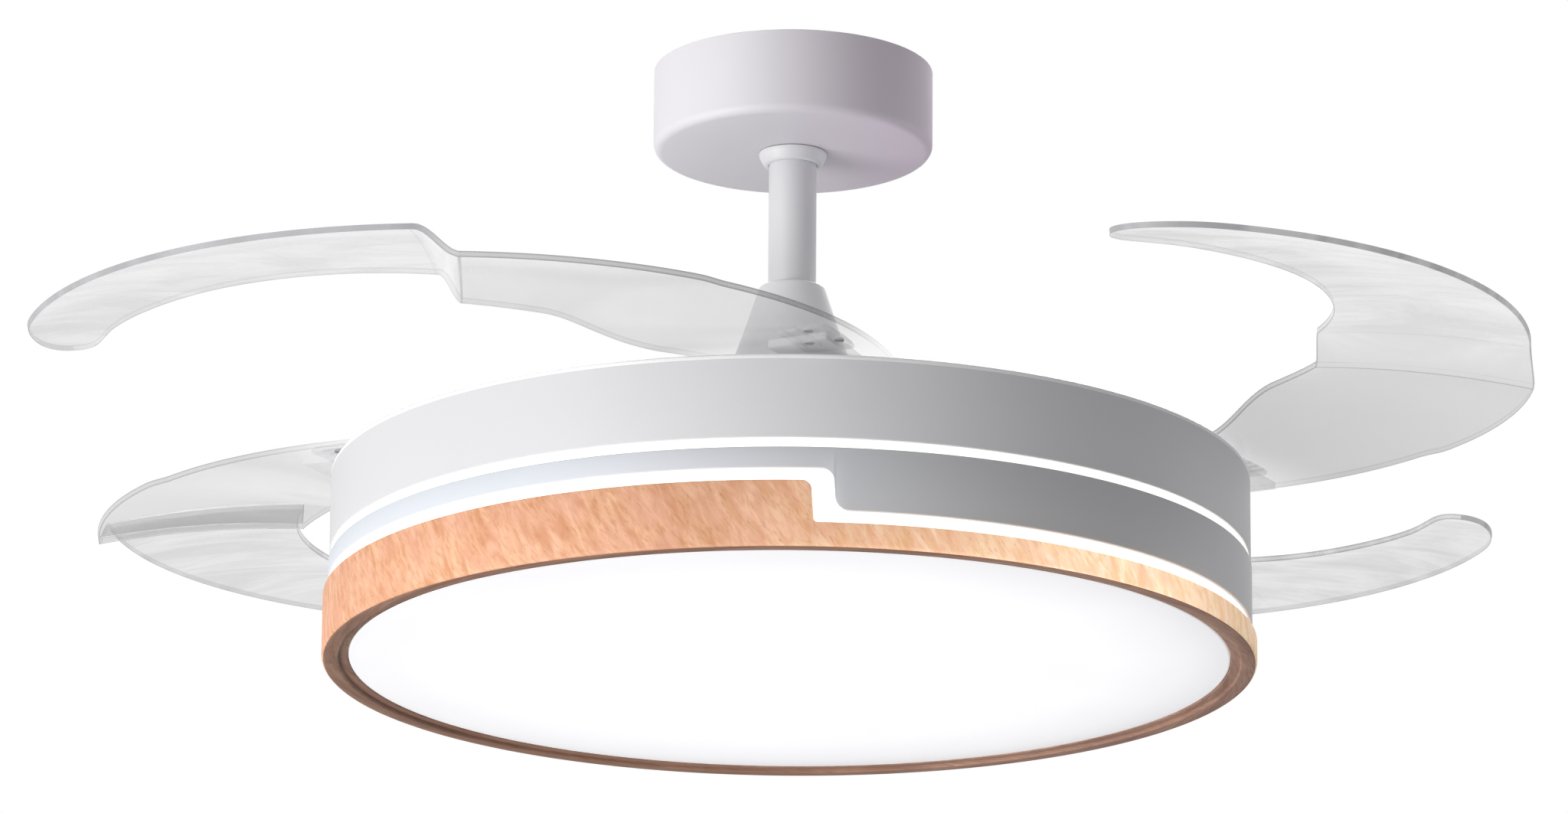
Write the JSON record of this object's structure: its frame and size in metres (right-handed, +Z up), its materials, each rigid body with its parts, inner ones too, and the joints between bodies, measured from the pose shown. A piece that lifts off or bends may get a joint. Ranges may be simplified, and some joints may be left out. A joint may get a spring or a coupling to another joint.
{
  "type": "retractable blade ceiling fan",
  "caption": "Ceiling fan with clear crescent blades that fold over a round lamp drum, with a stepped wooden ring, an opal light panel and a short down rod.",
  "frame": {"origin": "on the fan's axis, in the ceiling plane, at the centre of the bracket's upper face", "axes": "+Z up along the axis, -Y towards the viewer of the reference picture, +X to its right"},
  "size_m": [0.7866, 0.7866, 0.335],
  "materials": {
    "white_paint": "satin white paint, very slightly warm",
    "grey_paint": "satin pale grey paint",
    "steel": "zinc plated",
    "aluminium": "die-cast, satin",
    "dark_iron": "laminated iron and ferrite",
    "clear_plastic": "clear polished plastic",
    "grey_plastic": "moulded, fine matt",
    "opal_plastic": "opal white, lit from behind",
    "wood_finish": "pale wood grain, matt",
    "white_board": "white printed circuit board"
  },
  "bodies": {
    "lamp_body": {"ceiling_bracket": "steel", "hanger_ball": "grey_plastic", "ball_cross_pin": "steel", "down_rod": "white_paint", "canopy": "white_paint", "canopy_collar": "white_paint", "collar_screw": "steel", "bell_cover": "white_paint", "rod_coupling": "steel", "coupling_pin": "steel", "motor_shaft": "steel", "motor_stator": "dark_iron", "upper_bearing": "steel", "lower_bearing": "steel", "shaft_washer": "steel", "shaft_nut": "steel", "lamp_chassis": "steel", "upper_drum": "white_paint", "light_ring": "opal_plastic", "lower_band": "grey_paint", "wood_ring": "wood_finish", "light_tray": "white_paint", "led_board": "white_board", "panel_diffuser": "opal_plastic", "led_driver": "grey_plastic", "remote_receiver": "grey_plastic", "lamp_standoff_1": "steel", "lamp_standoff_2": "steel", "lamp_standoff_3": "steel"},
    "rotor": {"motor_upper_shell": "aluminium", "motor_lower_shell": "aluminium", "magnet_ring": "dark_iron", "blade_tray": "white_paint", "ring_keeper": "steel", "pivot_pin_1": "steel", "pivot_pin_2": "steel", "pivot_pin_3": "steel", "pivot_pin_4": "steel", "return_spring_1": "steel", "return_spring_2": "steel", "return_spring_3": "steel", "return_spring_4": "steel"},
    "fold_ring": {"sync_ring": "grey_plastic"},
    "folding_blade_1": {"blade_1": "clear_plastic", "blade_hub_1": "grey_plastic", "blade_clamp_1": "grey_plastic"},
    "folding_blade_2": {"blade_2": "clear_plastic", "blade_hub_2": "grey_plastic", "blade_clamp_2": "grey_plastic"},
    "folding_blade_3": {"blade_3": "clear_plastic", "blade_hub_3": "grey_plastic", "blade_clamp_3": "grey_plastic"},
    "folding_blade_4": {"blade_4": "clear_plastic", "blade_hub_4": "grey_plastic", "blade_clamp_4": "grey_plastic"}
  },
  "joints": [
    {"name": "rotor_spin", "type": "hinge", "parent": "lamp_body", "child": "rotor", "pos_m": [0, 0, -0.231], "axis": [0, 0, 1], "continuous": true},
    {"name": "blade_fold_1", "type": "hinge", "parent": "rotor", "child": "folding_blade_1", "pos_m": [0.19851, 0.02437, -0.231], "axis": [0, 0, 1], "range_deg": [-70, 0]},
    {"name": "blade_fold_2", "type": "hinge", "parent": "rotor", "child": "folding_blade_2", "pos_m": [-0.02437, 0.19851, -0.231], "axis": [0, 0, 1], "range_deg": [-70, 0]},
    {"name": "blade_fold_3", "type": "hinge", "parent": "rotor", "child": "folding_blade_3", "pos_m": [-0.19851, -0.02437, -0.231], "axis": [0, 0, 1], "range_deg": [-70, 0]},
    {"name": "blade_fold_4", "type": "hinge", "parent": "rotor", "child": "folding_blade_4", "pos_m": [0.02437, -0.19851, -0.231], "axis": [0, 0, 1], "range_deg": [-70, 0]},
    {"name": "sync_turn", "type": "hinge", "parent": "rotor", "child": "fold_ring", "pos_m": [0, 0, -0.231], "axis": [0, 0, 1], "range_deg": [0, 7.8]}
  ],
  "couplings": [
    {"joint": "blade_fold_2", "follows": "blade_fold_1", "ratio": 1},
    {"joint": "blade_fold_3", "follows": "blade_fold_1", "ratio": 1},
    {"joint": "blade_fold_4", "follows": "blade_fold_1", "ratio": 1},
    {"joint": "sync_turn", "follows": "blade_fold_1", "ratio": -0.11111}
  ]
}
